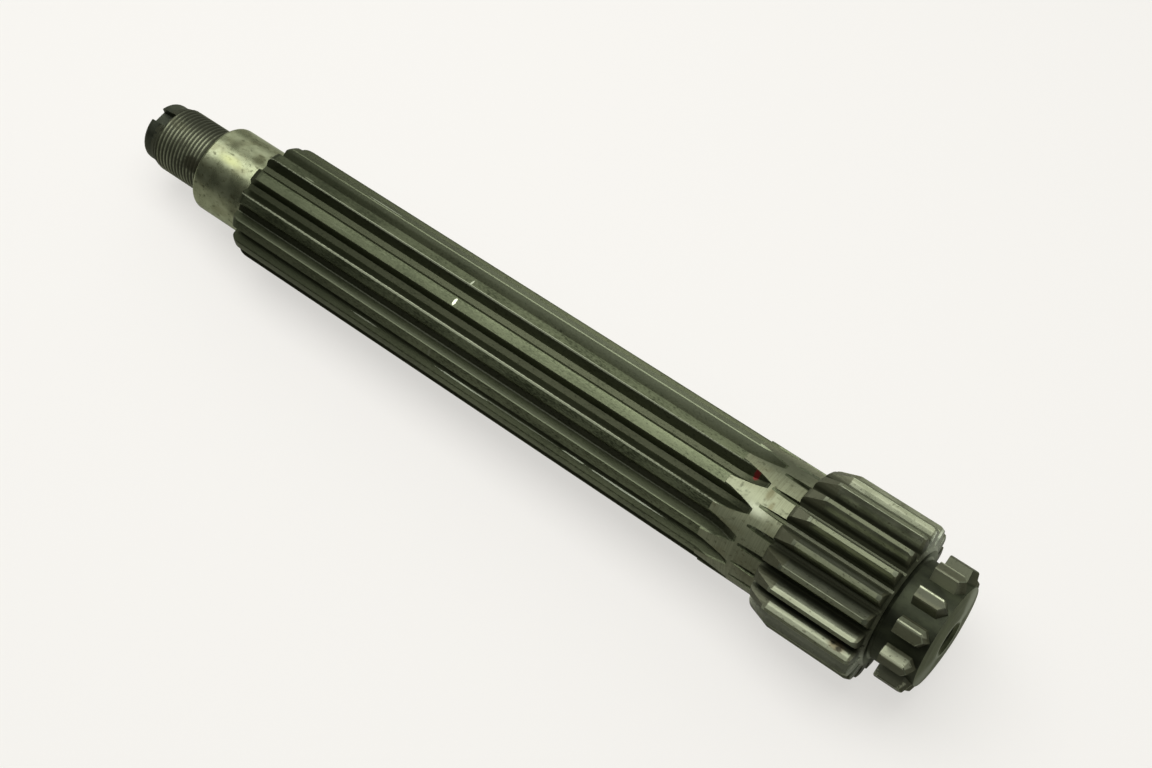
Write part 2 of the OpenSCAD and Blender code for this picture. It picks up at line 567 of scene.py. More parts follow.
# In the finishes below, a pitch, a depth or a grain is in millimetres. Ends say where a mask is 0 and
# where it is 1. A share or a cover says how much of a layer is laid on, and what dulls a finish adds
# to its roughness.


@dataclass(frozen=True)
class GroundSeat:
    """The bright ground finish of the journal and the duller one of the band, with old stains and painted
    highlights on the band.
    """

    plan: ShaftPlan
    tone: SteelTone = SteelTone(
        dark=(0.214, 0.234, 0.142),
        light=(0.336, 0.364, 0.231),
        stain=(0.08, 0.085, 0.046),
        roughness=0.24,
        spread=0.12,
        metal=0.95,
        grain=(7.0, 5.0, 5.0),
    )
    stain: Patches = Patches((2.2, 1.5, 1.5), 6.0, (0.56, 0.70), 0.7)
    film: Patches = Patches((9.0, 6.0, 6.0), 3.0, (0.5, 0.68), 0.4)
    brown: Colour = (0.11, 0.10, 0.045)
    band: Colour = (0.19, 0.203, 0.125)
    band_fade: float = 20.0
    band_cover: float = 0.62
    band_clouds: float = 0.45
    band_film: float = 0.38
    band_dulls: float = 0.16
    stain_dulls: float = 0.15
    grind_pitch: float = 0.16
    grind_depth: float = 0.003
    grind_dulls: float = 0.1
    hatch_pitch: float = 0.5
    hatch_ends: Ends = (0.42, 0.62)
    hatch_share: float = 0.3
    marks: Sequence[Mark] = (
        # A darker patch over the band's upper far side.
        Mark("oil on the far side", 275.0, -28.0, (16.0, 6.0), 27.2, (0.070, 0.078, 0.046), 0.85, 0.6),
        # Painted highlights on the band.
        Mark("rubbed patch", 271.0, 16.5, (12.0, 3.4), 27.2, (0.31, 0.335, 0.225), 0.5, 0.9),
        Mark("bright rub", 277.5, 22.5, (4.5, 2.0), 27.2, (0.52, 0.555, 0.40), 0.7, 0.8),
        Mark("brown stain", 278.4, 5.5, (1.3, 2.6), 27.2, (0.10, 0.085, 0.035), 0.6, 0.6),
        Mark("second brown stain", 281.6, 14.5, (1.0, 2.1), 27.2, (0.11, 0.095, 0.04), 0.6, 0.6),
        Mark("oil by the pinion", 284.0, 70.0, (6.0, 7.0), 27.2, (0.075, 0.075, 0.038), 0.5, 0.8),
        Mark("stain by the splines", 8.5, -7.5, (2.6, 2.4), 20.0, (0.085, 0.088, 0.045), 0.8, 0.7),
        Mark("stain by the thread", -5.7, -12.0, (2.2, 3.0), 20.0, (0.10, 0.105, 0.06), 0.7, 0.8),
        Mark("yellow film", -1.8, 12.5, (5.0, 1.8), 20.0, (0.36, 0.38, 0.17), 0.6, 0.9),
        Mark("low stain", 11.0, 68.0, (3.4, 2.6), 20.0, (0.07, 0.072, 0.04), 0.7, 0.7),
    )

    def make(self) -> bpy.types.Material:
        """Makes the material.

        Returns:
            The finished material.
        """
        s = Surface(Finish.SEAT.value)
        start = self.plan.band.start / MM
        grind = s.round_marks(self.grind_pitch)
        cloud = self.tone.clouds(s)
        stain = self.stain.mask(s)
        film = self.film.mask(s)
        hatch = s.round_marks(self.hatch_pitch).step(*self.hatch_ends)
        on_band = s.x.step(start - self.band_fade, start)
        base = self.tone.clouded(s, cloud)
        base = s.graph.mix(on_band * (self.band_cover + cloud * self.band_clouds), base, self.band)
        base = s.graph.mix(film * self.film.share, base, self.brown)
        base = s.graph.mix(on_band * hatch * self.hatch_share, base, self.tone.stain)
        base = s.graph.mix(stain * self.stain.share, base, self.tone.stain)
        base = paint_all(s, base, self.marks)
        rough = self.tone.gloss(cloud) + grind * self.grind_dulls + stain * self.stain_dulls
        rough = rough + on_band * self.band_dulls
        return s.finish(base, rough, self.tone.metal - on_band * self.band_film, grind, self.grind_depth)


@dataclass(frozen=True)
class OiledSpline:
    """The dark oily finish of the splines' lands, flanks and floors, oiliest towards the journal, with
    painted light and shade along some lands, edges and a flank.
    """

    plan: ShaftPlan
    tone: SteelTone = SteelTone(
        dark=(0.055, 0.065, 0.034),
        light=(0.147, 0.167, 0.096),
        stain=(0.020, 0.024, 0.011),
        roughness=0.37,
        spread=0.2,
        grain=(26.0, 6.0, 6.0),
    )
    contrast: float = 1.3
    speckle_grain: Point = (1.5, 0.42, 0.42)
    speckle_detail: float = 3.0
    speckle_share: float = 0.5
    pits: Patches = Patches((1.5, 0.9, 0.9), 3.0, (0.58, 0.72), 0.75)
    dirt_ends: Ends = (0.48, 0.34)
    dirt_share: float = 0.6
    grooves: int = 14
    slack_flank: Colour = (0.042, 0.047, 0.025)
    drive_flank: Colour = (0.056, 0.062, 0.034)
    drive_ends: Ends = (0.04, -0.04)
    flank_share: float = 0.85
    floor: Colour = (0.072, 0.078, 0.046)
    floor_ends: Ends = (0.5, 0.1)
    floor_share: float = 0.8
    land_ends: Ends = (-0.24, -0.12)
    bare: Colour = (0.30, 0.33, 0.22)
    scratch_ends: Ends = (0.60, 0.78)
    scratch_share: float = 0.4
    oil_ends: Ends = (178.0, 12.0)
    oil_share: float = 0.64
    turned_pitch: float = 0.22
    turned_dulls: float = 0.12
    drawn_pitch: float = 0.3
    depth: float = 0.008
    marks: Sequence[Mark] = (
        # Painted shade along one land near the top, and painted light along one on the far side.
        Mark("dull land", 150.0, 14.5, (160.0, 2.5), 26.7, (0.045, 0.052, 0.029), 0.5, 0.8),
        Mark("light land", 200.0, -38.6, (100.0, 3.2), 26.7, (0.30, 0.33, 0.235), 0.35, 0.7),
        Mark("red paint in a groove end", 269.2, -4.8, (1.2, 1.6), 24.2, (0.24, 0.022, 0.025), 0.9, 0.4),
        Mark("bright nick", 126.8, 13.1, (0.65, 1.6), 26.7, (0.62, 0.66, 0.50)),
        Mark("thin nick", 126.6, -11.0, (0.4, 1.6), 26.7, (0.50, 0.54, 0.40)),
        Mark("faint nick", 126.7, 65.2, (0.6, 1.7), 26.7, (0.15, 0.165, 0.11), 0.8),
        Mark("long scuff", 70.0, -36.5, (9.0, 0.45), 26.7, (0.36, 0.40, 0.29)),
        Mark("short scuff", 37.5, -10.7, (2.6, 0.35), 26.7, (0.18, 0.20, 0.13), 0.8),
        # Painted highlights along two land edges, painted shade along a low one and painted light along a
        # far one.
        Mark("rubbed land edge", 138.0, -8.3, (128.0, 0.36), 26.6, (0.33, 0.36, 0.25)),
        Mark("bright land edge", 138.0, 34.7, (135.0, 0.45), 26.6, (0.50, 0.54, 0.38)),
        Mark("low land edge", 138.0, 59.3, (125.0, 0.5), 26.6, (0.085, 0.095, 0.060), 0.8, 0.6),
        Mark("far land edge", 138.0, -33.0, (125.0, 0.6), 26.6, (0.13, 0.145, 0.09), 0.7, 0.6),
        # Painted highlight lines along one groove's flank and in a floor corner.
        Mark("second flank line", 143.5, 82.6, (13.0, 0.15), 24.6, (0.42, 0.46, 0.34)),
        Mark("third flank line", 170.0, 82.3, (22.0, 0.13), 24.6, (0.22, 0.24, 0.17), 0.7),
        Mark("fourth flank line", 200.7, 82.3, (5.6, 0.14), 24.6, (0.42, 0.46, 0.34)),
        Mark("last flank line", 226.3, 82.4, (16.8, 0.16), 24.6, (0.46, 0.50, 0.38)),
        Mark("line in a floor corner", 138.0, 55.0, (122.0, 0.15), 22.8, (0.20, 0.215, 0.155), 0.8, 0.4),
        Mark("first flank line", 90.0, 82.6, (6.5, 0.13), 24.6, (0.24, 0.26, 0.19), 0.8),
    )

    def make(self) -> bpy.types.Material:
        """Makes the material.

        Returns:
            The finished material.
        """
        s = Surface(Finish.SPLINE.value)
        patch = self.tone.clouds(s)
        speckle = s.noise(self.speckle_grain, self.speckle_detail)
        cloud = patch * (1.0 - self.speckle_share) + speckle * self.speckle_share
        turned = s.round_marks(self.turned_pitch)
        drawn = s.long_marks(self.drawn_pitch)
        pits = self.pits.mask(s)
        on_land = s.radius.step_from(self.plan.splines.radius / MM, self.land_ends)
        on_floor = s.radius.step_from(self.plan.groove_radius / MM, self.floor_ends)
        base = self.tone.clouded(s, (cloud - MIDDLE) * self.contrast + MIDDLE)
        driven = s.within_pitch(self.grooves, 0.0).step(*self.drive_ends)
        flank = s.graph.mix(driven, self.slack_flank, self.drive_flank)
        base = s.graph.mix((1.0 - on_land) * self.flank_share, base, flank)
        base = s.graph.mix(on_floor * self.floor_share, base, self.floor)
        base = s.graph.mix(s.x.step(*self.oil_ends) * self.oil_share, base, self.tone.stain)
        base = s.graph.mix(on_land * drawn.step(*self.scratch_ends) * self.scratch_share, base, self.bare)
        base = s.graph.mix(cloud.step(*self.dirt_ends) * self.dirt_share, base, self.tone.stain)
        base = s.graph.mix(pits * self.pits.share, base, self.tone.stain)
        base = paint_all(s, base, self.marks)
        rough = self.tone.gloss(cloud) + turned * self.turned_dulls
        bump = turned * on_land + drawn * (1.0 - on_land)
        return s.finish(base, rough, self.tone.metal, bump, self.depth)


@dataclass(frozen=True)
class WornTooth:
    """The teeth of the pinion and the dogs: polished where they meshed, dark and oily elsewhere, with
    painted reflections on a crest and on the tooth ends.
    """

    plan: ShaftPlan
    tone: SteelTone = SteelTone(
        dark=(0.120, 0.130, 0.084),
        light=(0.205, 0.220, 0.150),
        stain=(0.05, 0.052, 0.03),
        roughness=0.32,
        metal=0.78,
        grain=(8.0, 3.0, 3.0),
    )
    stain: Patches = Patches((1.6, 1.0, 1.0), 5.0, (0.58, 0.70), 0.7)
    stain_dulls: float = 0.1
    film: float = 0.45
    unworn_dulls: float = 0.12
    drawn_pitch: float = 0.25
    depth: float = 0.006

    # The pinion. The run-in and the run-out are the ends of its teeth that never meshed. Its masks
    # are in millimetres from a radius or an end, in pitches, or in heights of the root.
    teeth: int = 20
    run_in: float = 9.6
    run_out: float = 2.6
    start_ends: Ends = (-0.5, 0.1)
    stop_ends: Ends = (0.2, -0.3)
    driven: Colour = (0.25, 0.268, 0.187)
    driven_ends: Ends = (-0.05, 0.05)
    driven_cover: float = 0.5
    driven_clouds: float = 0.4
    crest: Colour = (0.175, 0.190, 0.120)
    crest_ends: Ends = (-0.35, -0.15)
    crest_share: float = 0.9
    crest_dulls: float = 0.26
    tip_ends: Ends = (-1.7, -0.7)
    tip_share: float = 0.3
    root: Colour = (0.022, 0.024, 0.013)
    root_height: float = 2.4
    root_ends: Ends = (2.0, 0.3)
    root_share: float = 0.9
    floor: Colour = (0.068, 0.073, 0.044)
    floor_ends: Ends = (0.9, 0.3)

    # The dog teeth, of which one side locks and is polished.
    dogs: int = 11
    first_dog_deg: float = 6.2
    dog_start_ends: Ends = (2.0, 3.0)
    dog_foot_ends: Ends = (1.0, 1.8)
    dog_crest_ends: Ends = (-0.5, -0.2)
    bare: Colour = (0.50, 0.53, 0.37)
    locked_ends: Ends = (-0.08, -0.13)
    locked_cover: float = 0.55
    locked_clouds: float = 0.5
    rubbed_ends: Ends = (-0.06, -0.16)

    # The oil on all that never rubbed.
    oily: Colour = (0.070, 0.072, 0.041)
    oily_cover: float = 0.75
    oily_streaks: float = 0.3

    marks: Sequence[Mark] = (
        Mark("rust on a tooth", 328.3, 76.8, (3.2, 0.8), 32.0, (0.10, 0.07, 0.032), 0.7, 0.5),
        Mark("pit in the rust", 329.6, 77.3, (1.2, 0.45), 32.0, (0.02, 0.019, 0.011), 0.9, 0.4),
        Mark("second pit", 326.6, 76.6, (1.0, 0.3), 32.0, (0.03, 0.028, 0.016), 0.9, 0.4),
        # A painted reflection along a crest at the bottom.
        Mark("rubbed crest", 313.0, 92.0, (26.0, 2.6), 33.7, (0.55, 0.58, 0.44), 0.85, 0.7),
        # Painted reflections on the tooth ends at the top and the bottom.
        Mark("scuffed tooth ends", 336.2, -57.0, (1.3, 13.0), 30.0, (0.43, 0.47, 0.36), 0.65, 0.4),
        Mark("scuffed low ends", 336.2, 100.0, (1.3, 9.5), 30.0, (0.43, 0.47, 0.36), 0.65, 0.4),
        Mark("dull dog tooth", 348.8, 91.0, (8.5, 5.0), 26.0, (0.095, 0.10, 0.066)),
        Mark("oily dog side", 348.8, -52.0, (9.0, 1.6), 25.0, (0.06, 0.065, 0.04), 0.7, 0.5),
        Mark("lighter dog side", 348.8, -18.8, (8.0, 1.3), 25.0, (0.17, 0.18, 0.12), 0.7, 0.5),
        Mark("oily dog crest", 348.5, 5.6, (9.0, 1.5), 26.7, (0.042, 0.045, 0.028), 0.8, 0.4),
    )

    def make(self) -> bpy.types.Material:
        """Makes the material.

        Returns:
            The finished material.
        """
        s = Surface(Finish.TOOTH.value)
        start = self.plan.pinion.start / MM + self.run_in
        end = self.plan.pinion.end / MM
        tip = self.plan.pinion.radius / MM
        band = self.plan.band.radius / MM
        height = self.root_height
        cloud = self.tone.clouds(s)
        drawn = s.long_marks(self.drawn_pitch)
        stain = self.stain.mask(s)
        meshed = s.x.step_from(start, self.start_ends) * s.x.step_from(end - self.run_out, self.stop_ends)
        meshed = meshed * s.radius.step(band, band + height)
        driven = s.within_pitch(self.teeth, 0.0).step(*self.driven_ends)
        loaded = driven * meshed * s.radius.step(band + height, band + 2 * height)
        on_crest = s.radius.step_from(tip, self.crest_ends)
        near_tip = s.radius.step_from(tip, self.tip_ends)
        side = s.within_pitch(self.dogs, self.first_dog_deg)
        on_dogs = s.x.step_from(end, self.dog_start_ends)
        above_foot = s.radius.step_from(self.plan.neck_radius / MM, self.dog_foot_ends)
        on_dog_crest = s.radius.step_from(self.plan.dogs.radius / MM, self.dog_crest_ends)
        locked = on_dogs * side.step(*self.locked_ends) * above_foot
        rubbed = on_dogs * side.step(*self.rubbed_ends) * on_dog_crest
        polish = meshed.larger(locked)
        unworn = 1.0 - polish.larger(rubbed)
        low, high = (band + share * height for share in self.root_ends)
        deep = (1.0 - on_dogs) * s.radius.step(low, high)
        on_floor = (1.0 - on_dogs) * s.radius.step_from(band, self.floor_ends)
        base = self.tone.clouded(s, cloud)
        base = s.graph.mix(loaded * (self.driven_cover + cloud * self.driven_clouds), base, self.driven)
        base = s.graph.mix(near_tip * self.tip_share, base, self.oily)
        base = s.graph.mix(on_crest * self.crest_share, base, self.crest)
        base = s.graph.mix(locked * (self.locked_cover + cloud * self.locked_clouds), base, self.bare)
        base = s.graph.mix(unworn * (self.oily_cover + drawn * self.oily_streaks), base, self.oily)
        base = s.graph.mix(deep * self.root_share, base, self.root)
        base = s.graph.mix(on_floor, base, self.floor)
        base = s.graph.mix(stain * self.stain.share, base, self.tone.stain)
        base = paint_all(s, base, self.marks)
        rough = self.tone.gloss(cloud) + (1.0 - polish) * self.unworn_dulls
        rough = rough + stain * self.stain_dulls + on_crest * self.crest_dulls
        metal = self.film + polish * (self.tone.metal - self.film)
        return s.finish(base, rough, metal, drawn, self.depth)


@dataclass(frozen=True)
class CutThread:
    """The nut thread: rubbed ridges with dirt between them."""

    plan: ShaftPlan
    tone: SteelTone = SteelTone(
        dark=(0.150, 0.162, 0.101),
        light=(0.245, 0.262, 0.172),
        stain=(0.036, 0.036, 0.021),
        roughness=0.46,
        spread=0.14,
        metal=0.6,
        grain=(5.0, 4.0, 4.0),
    )
    stain: Patches = Patches((6.0, 3.0, 3.0), 5.0, (0.52, 0.7), 0.6)
    dirt: Colour = (0.030, 0.032, 0.019)
    dirt_share: float = 0.9
    dirt_dulls: float = 0.15
    valley_ends: Ends = (-0.05, -0.55)
    depth: float = 0.01
    marks: Sequence[Mark] = (
        # Painted shade over the thread's upper far side.
        Mark("oil on the far side", -31.0, -33.0, (17.0, 7.5), 15.0, (0.026, 0.028, 0.017), 0.9, 0.5),
        Mark("dirt by the journal", -21.5, 50.0, (4.5, 3.6), 15.0, (0.032, 0.031, 0.017), 0.85),
        Mark("dirt by the nose", -38.0, 4.0, (6.0, 2.2), 15.0, (0.060, 0.062, 0.034), 0.5),
    )

    def make(self) -> bpy.types.Material:
        """Makes the material.

        Returns:
            The finished material.
        """
        s = Surface(Finish.THREAD.value)
        cloud = self.tone.clouds(s)
        stain = self.stain.mask(s)
        valley = s.radius.step_from(self.plan.thread.radius / MM, self.valley_ends)
        base = self.tone.clouded(s, cloud)
        base = s.graph.mix(valley * self.dirt_share, base, self.dirt)
        base = s.graph.mix(stain * self.stain.share, base, self.tone.stain)
        base = paint_all(s, base, self.marks)
        rough = self.tone.gloss(cloud) + valley * self.dirt_dulls
        return s.finish(base, rough, self.tone.metal, cloud, self.depth)


@dataclass(frozen=True)
class PlainSteel:
    """A steel finish with clouds, stains and turning marks, for the nose, neck, hub and edges.

    It may also have the rings that facing leaves, and a worn rim round the mouth of a hole.
    """

    finish: Finish
    tone: SteelTone
    stain: Patches = Patches((2.2, 1.6, 1.6), 5.0, (0.6, 0.75), 0.5)
    turned_pitch: float = 0.25
    turned_dulls: float = 0.1
    depth: float = 0.006
    ring_pitch: float = 0.75
    ring_ends: Ends = (0.45, 0.7)
    ring_share: float = 0.0
    mouth: float = 0.0
    rim_inside: Ends = (0.0, 0.2)
    rim_outside: Ends = (1.6, 0.8)
    rim_cover: float = 0.3
    bare: Colour = (0.30, 0.325, 0.26)
    marks: Sequence[Mark] = ()

    def make(self) -> bpy.types.Material:
        """Makes the material.

        Returns:
            The finished material.
        """
        s = Surface(self.finish.value)
        cloud = self.tone.clouds(s)
        turned = s.round_marks(self.turned_pitch)
        rings = s.face_marks(self.ring_pitch)
        stain = self.stain.mask(s)
        base = self.tone.clouded(s, cloud)
        base = s.graph.mix(rings.step(*self.ring_ends) * self.ring_share, base, self.tone.light)
        base = s.graph.mix(stain * self.stain.share, base, self.tone.stain)
        if self.mouth:
            rim = s.radius.step_from(self.mouth, self.rim_inside)
            rim = rim * s.radius.step_from(self.mouth, self.rim_outside)
            base = s.graph.mix(rim * (self.rim_cover + cloud), base, self.bare)
        base = paint_all(s, base, self.marks)
        rough = self.tone.gloss(cloud) + turned * self.turned_dulls
        return s.finish(base, rough, self.tone.metal, turned, self.depth)


PLAIN_NOSE = PlainSteel(
    Finish.NOSE,
    SteelTone(
        dark=(0.028, 0.032, 0.022),
        light=(0.054, 0.060, 0.042),
        stain=(0.014, 0.015, 0.010),
        roughness=0.46,
    ),
)
DARK_STEEL = PlainSteel(
    Finish.DARK,
    SteelTone(
        dark=(0.021, 0.024, 0.014),
        light=(0.042, 0.048, 0.027),
        stain=(0.012, 0.013, 0.008),
        roughness=0.46,
        metal=0.72,
    ),
    marks=(
        # Painted reflections on the end face at the top and the bottom.
        Mark("scuffed end face", 337.1, -62.0, (0.9, 9.0), 25.0, (0.38, 0.415, 0.32), 0.65, 0.5),
        Mark("scuffed low end face", 337.1, 108.0, (0.9, 7.0), 25.0, (0.38, 0.415, 0.32), 0.65, 0.5),
    ),
)
FACED_HUB = PlainSteel(
    Finish.HUB,
    SteelTone(
        dark=(0.036, 0.042, 0.021),
        light=(0.088, 0.101, 0.056),
        stain=(0.022, 0.025, 0.013),
        roughness=0.42,
        metal=0.92,
    ),
    ring_share=0.8,
    mouth=7.5,
    marks=(
        # Painted reflections on the hub face above and below the hole.
        Mark("scuffed hub face", 357.7, -62.0, (1.2, 5.0), 15.0, (0.34, 0.365, 0.31), 0.8, 0.6),
        Mark("scuffed low hub face", 357.7, 112.0, (1.2, 4.4), 13.0, (0.25, 0.27, 0.225), 0.7, 0.7),
    ),
)
RUBBED_EDGE = PlainSteel(
    Finish.EDGE,
    SteelTone(
        dark=(0.13, 0.145, 0.095),
        light=(0.25, 0.272, 0.187),
        stain=(0.05, 0.055, 0.034),
        roughness=0.32,
    ),
)


@dataclass(frozen=True)
class NutThread:
    """The fine right-hand thread that takes the shaft's nut, as a cutter that follows its helix.

    Attributes:
        stretch: Where the helix runs, with the thread's outer radius.
        pitch: The advance in a turn.
        depth: The depth of the groove.
        root_half: Half the width of the groove's floor.
        flank_deg: The slope of each side from straight outwards.
        clearance: How far the cutter stands out of the cylinder.
        steps_a_turn: The number of sections in a turn.
    """

    stretch: Stretch
    pitch: float = 2.0 * MM
    depth: float = 1.15 * MM
    root_half: float = 0.16 * MM
    flank_deg: float = 30.0
    clearance: float = 0.5 * MM
    steps_a_turn: int = 72

    def cutter(self) -> bpy.types.Object:
        """Makes the groove's solid, which starts ahead of the thread and ends at its relief.

        Returns:
            A closed mesh object of the swept groove section.
        """
        root = self.stretch.radius - self.depth
        top = self.stretch.radius + self.clearance
        top_half = self.root_half + (top - root) * math.tan(math.radians(self.flank_deg))
        section = ((-top_half, top), (-self.root_half, root), (self.root_half, root), (top_half, top))
        turns = (self.stretch.end - self.stretch.start) / self.pitch
        mesh = bmesh.new()
        rings = []
        for step in range(round(turns * self.steps_a_turn) + 1):
            angle = 2 * math.pi * step / self.steps_a_turn
            x = self.stretch.start + self.pitch * step / self.steps_a_turn
            ring = [(x + dx, r * math.cos(angle), r * math.sin(angle)) for dx, r in section]
            rings.append([mesh.verts.new(p) for p in ring])
        corners = len(section)
        for here, there in zip(rings, rings[1:]):
            for k in range(corners):
                after = (k + 1) % corners
                mesh.faces.new((here[k], here[after], there[after], there[k]))
        mesh.faces.new(reversed(rings[0]))
        mesh.faces.new(rings[-1])
        bmesh.ops.recalc_face_normals(mesh, faces=mesh.faces)
        return new_object("thread_cutter", mesh)


def new_object(name: str, mesh: bmesh.types.BMesh) -> bpy.types.Object:
    """Turns a mesh under construction into an object of the scene, and frees it.

    Args:
        name: The object's name.
        mesh: The mesh under construction.

    Returns:
        The new object.
    """
    data = bpy.data.meshes.new(name)
    mesh.to_mesh(data)
    mesh.free()
    made = bpy.data.objects.new(name, data)
    bpy.context.scene.collection.objects.link(made)
    return made


def settle(piece: bpy.types.Object) -> None:
    """Applies all modifiers of an object.

    Args:
        piece: The object.
    """
    graph = bpy.context.evaluated_depsgraph_get()
    data = bpy.data.meshes.new_from_object(piece.evaluated_get(graph))
    piece.modifiers.clear()
    piece.data = data


@dataclass
class Shaft:
    """The whole shaft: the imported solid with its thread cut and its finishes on.

    Attributes:
        plan: The plan of the shaft.
        weld: The distance within which split corners are joined.
        sharp_deg: The angle from which an edge of the cut thread is sharp.
        hair: A small distance that keeps a face from falling on the wrong side of a limit.
        edge: The height of the broken edges.
        run_in: How far ahead of the thread its cutter starts.
        run_out: How far before the journal its cutter stops.
        square: How straight a face looks along the axis, or outwards, to count as square.
        slant: How far a broken edge looks outwards at least.
        dog_bevel: How far the bevel of a dog tooth looks along the axis at least.
        hub_bevel: How far the bevel of the hub looks along the axis at least.
        piece: The shaft's object.
    """

    NORMALS: ClassVar[str] = "true_normal"

    plan: ShaftPlan
    weld: float = 0.002 * MM
    sharp_deg: float = 35.0
    hair: float = 0.1 * MM
    edge: float = 0.6 * MM
    run_in: float = 1.5 * MM
    run_out: float = 1.8 * MM
    square: float = 0.95
    slant: float = 0.6
    dog_bevel: float = 0.3
    hub_bevel: float = 0.2
    piece: bpy.types.Object = field(init=False)

    def build(self) -> bpy.types.Object:
        """Builds the dressed shaft and lets it stand for its solid.

        Returns:
            The shaft's object.
        """
        self.copy_solid()
        self.cut_thread()
        self.dress()
        self.smooth()
        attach(self.piece, "root")
        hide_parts(NODE)
        return self.piece

    def copy_solid(self) -> None:
        """Copies the solid's mesh, keeps its true normals and joins its split corners."""
        data = frame["nodes"][NODE].data.copy()
        kept = data.attributes.new(self.NORMALS, "FLOAT_VECTOR", "CORNER")
        kept.data.foreach_set("vector", [c for n in data.corner_normals for c in n.vector])
        mesh = bmesh.new()
        mesh.from_mesh(data)
        bmesh.ops.remove_doubles(mesh, verts=mesh.verts, dist=self.weld)
        self.piece = new_object("shaft", mesh)

    def cut_thread(self) -> None:
        """Cuts the helix of the nut thread into the copy."""
        thread = self.plan.thread
        end = self.plan.journal.start - self.run_out
        cutter = NutThread(Stretch(thread.start - self.run_in, end, thread.radius)).cutter()
        cut = self.piece.modifiers.new("thread", "BOOLEAN")
        cut.operation = "DIFFERENCE"
        cut.solver = "EXACT"
        cut.object = cutter
        settle(self.piece)
        bpy.data.objects.remove(cutter)

    def finish_of(self, face: bpy.types.MeshPolygon) -> Finish:
        """Says which finish a face has, from its place and the way that it faces.

        Args:
            face: The face.

        Returns:
            The finish.
        """
        plan = self.plan
        x = face.center.x
        radius = math.hypot(face.center.y, face.center.z)
        axial = abs(face.normal.x)
        outward = (face.normal.y * face.center.y + face.normal.z * face.center.z) / radius
        if x < plan.thread.start:
            return Finish.NOSE
        if x > plan.pinion.end - self.hair and axial > self.square and radius < plan.pinion.radius:
            return Finish.HUB if x > plan.dogs.end else Finish.DARK
        if x < plan.journal.start + self.hair and radius < plan.thread.radius + self.hair:
            return Finish.THREAD
        if x < plan.journal.end - self.hair:
            return Finish.SEAT
        slanted = self.slant < outward < self.square
        if plan.pinion.holds(x) and slanted and radius > plan.pinion.radius - self.edge:
            return Finish.EDGE
        if plan.dogs.holds(x) and axial > self.dog_bevel and outward > self.slant:
            return Finish.EDGE
        if x < plan.pinion.start:
            ground = x > plan.band.start and radius > plan.band.radius - self.hair
            return Finish.SEAT if ground else Finish.SPLINE
        if radius > plan.neck_radius + self.edge:
            return Finish.TOOTH
        return Finish.HUB if x > plan.dogs.end and axial > self.hub_bevel else Finish.DARK

    def dress(self) -> None:
        """Makes the finishes and gives each face its own."""
        made = {
            Finish.NOSE: PLAIN_NOSE.make(),
            Finish.THREAD: CutThread(self.plan).make(),
            Finish.SEAT: GroundSeat(self.plan).make(),
            Finish.SPLINE: OiledSpline(self.plan).make(),
            Finish.TOOTH: WornTooth(self.plan).make(),
            Finish.DARK: DARK_STEEL.make(),
            Finish.HUB: FACED_HUB.make(),
            Finish.EDGE: RUBBED_EDGE.make(),
        }
        materials = self.piece.data.materials
        materials.clear()
        for finish in Finish:
            materials.append(made[finish])
        for face in self.piece.data.polygons:
            face.material_index = self.finish_of(face).index

    def smooth(self) -> None:
        """Gives the solid's own faces their true normals, and shades the cut thread by its edges."""
        data = self.piece.data
        data.shade_smooth()
        data.set_sharp_from_angle(angle=math.radians(self.sharp_deg))
        kept = data.attributes[self.NORMALS]
        data.normals_split_custom_set([tuple(item.vector) for item in kept.data])
        data.attributes.remove(kept)


@dataclass(frozen=True)
class PhotoCamera:
    """The camera, from where the shaft's axis lies in an image of 1152 by 768 pixels.

    The aim is a point of the axis. The axis runs across the image at a slope, and leans towards the
    camera by the tilt; the shaft is turned about its axis away from facing the camera.
    """

    image: tuple[int, int] = (1152, 768)
    focal_px: float = 1904.0
    aim_px: tuple[float, float] = (570.15, 393.0)
    aim: Point = (0.1795, 0.0, 0.0)
    distance: float = 0.7664
    slope_deg: float = 33.0018
    tilt_deg: float = 21.35
    turn_deg: float = 24.8
    sensor_mm: float = 36.0
    clip_start: float = 0.01

    def axes(self) -> Matrix:
        """Works out the shaft's axes as the camera sees them.

        Returns:
            A matrix whose columns are the shaft's X, Y and Z, with right, down and ahead as its rows.
        """
        slope, tilt, turn = (math.radians(a) for a in (self.slope_deg, self.tilt_deg, self.turn_deg))
        ahead = self.line_of_sight()
        along = Vector((math.cos(slope), math.sin(slope), 0.0))
        along = (along - ahead * along.dot(ahead)).normalized()
        below = ahead.cross(along)
        axis = along * math.cos(tilt) - ahead * math.sin(tilt)
        facing = -(along * math.sin(tilt) + ahead * math.cos(tilt))
        up = facing * math.cos(turn) - below * math.sin(turn)
        side = up.cross(axis)
        return Matrix((axis, side, up)).transposed()

    def line_of_sight(self) -> Vector:
        """Works out where the aim lies from the camera.

        Returns:
            The direction to the aim, with right, down and ahead as its parts.
        """
        right = (self.aim_px[0] - self.image[0] / 2) / self.focal_px
        down = (self.aim_px[1] - self.image[1] / 2) / self.focal_px
        return Vector((right, down, 1.0)).normalized()

    def build(self) -> bpy.types.Object:
        """Places the camera and makes it the scene's own.

        Returns:
            The camera's object.
        """
        data = bpy.data.cameras.new("camera")
        data.sensor_width = self.sensor_mm
        data.lens = self.focal_px / self.image[0] * self.sensor_mm
        data.clip_start = self.clip_start
        camera = bpy.data.objects.new("camera", data)
        bpy.context.scene.collection.objects.link(camera)
        to_shaft = self.axes().transposed()
        place = Vector(self.aim) - to_shaft @ (self.line_of_sight() * self.distance)
        flip = Matrix.Diagonal((1.0, -1.0, -1.0))
        camera.matrix_world = Matrix.Translation(place) @ (to_shaft @ flip).to_4x4()
        bpy.context.scene.camera = camera
        return camera


